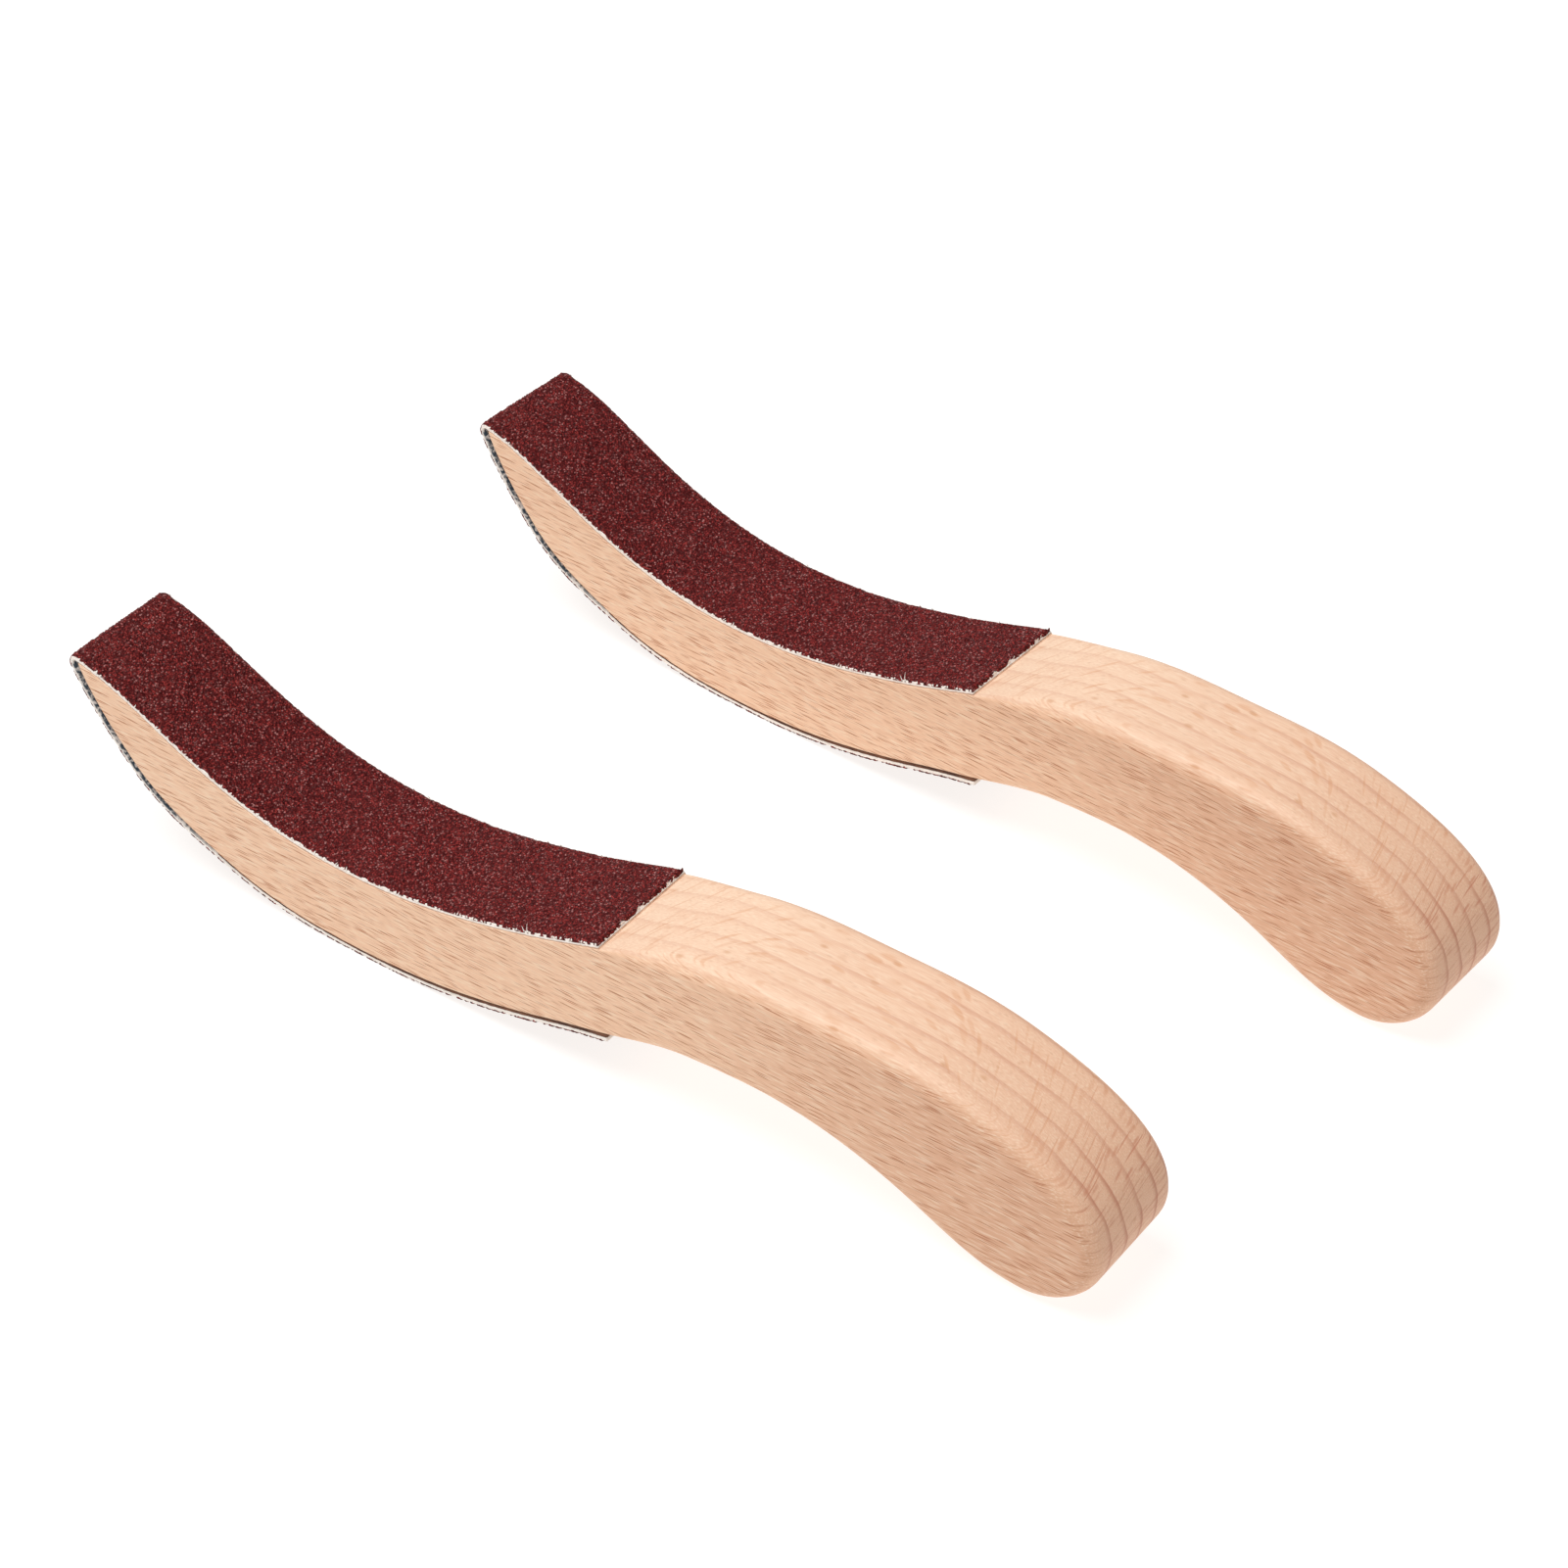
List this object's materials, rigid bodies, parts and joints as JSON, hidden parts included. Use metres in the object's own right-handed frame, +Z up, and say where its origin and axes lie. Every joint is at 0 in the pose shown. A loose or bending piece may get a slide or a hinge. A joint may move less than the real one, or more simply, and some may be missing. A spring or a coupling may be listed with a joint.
{
  "type": "abrasive-covered hand tools",
  "caption": "Pair of S-curved wooden hand tools with a tip-up front half wrapped in a strip of coarse abrasive cloth and a rounded drooping handle, for hand smoothing and roughing.",
  "frame": {"origin": "on the surface that both tools stand on, under the middle of their common box", "axes": "+X along the tools from tip to handle, +Y across from the near tool to the far one, +Z up"},
  "size_m": [0.2414, 0.1292, 0.0398],
  "materials": {
    "beech": "fine-sanded, unvarnished",
    "strip_cloth": "cotton cloth backing with cut edges",
    "strip_grit": "coarse bonded grains, about 60 grit",
    "glue": "dried contact glue"
  },
  "bodies": {
    "near_tool": {"near_handle": "beech", "near_cloth": "strip_cloth", "near_grit": "strip_grit", "near_top_glue": "glue", "near_under_glue": "glue"},
    "far_tool": {"far_handle": "beech", "far_cloth": "strip_cloth", "far_grit": "strip_grit", "far_top_glue": "glue", "far_under_glue": "glue"}
  },
  "joints": [
    {"name": "far_tool_lift", "type": "slide", "parent": "near_tool", "child": "far_tool", "axis": [0, 0, 1], "range_m": [0, 0.1]}
  ]
}
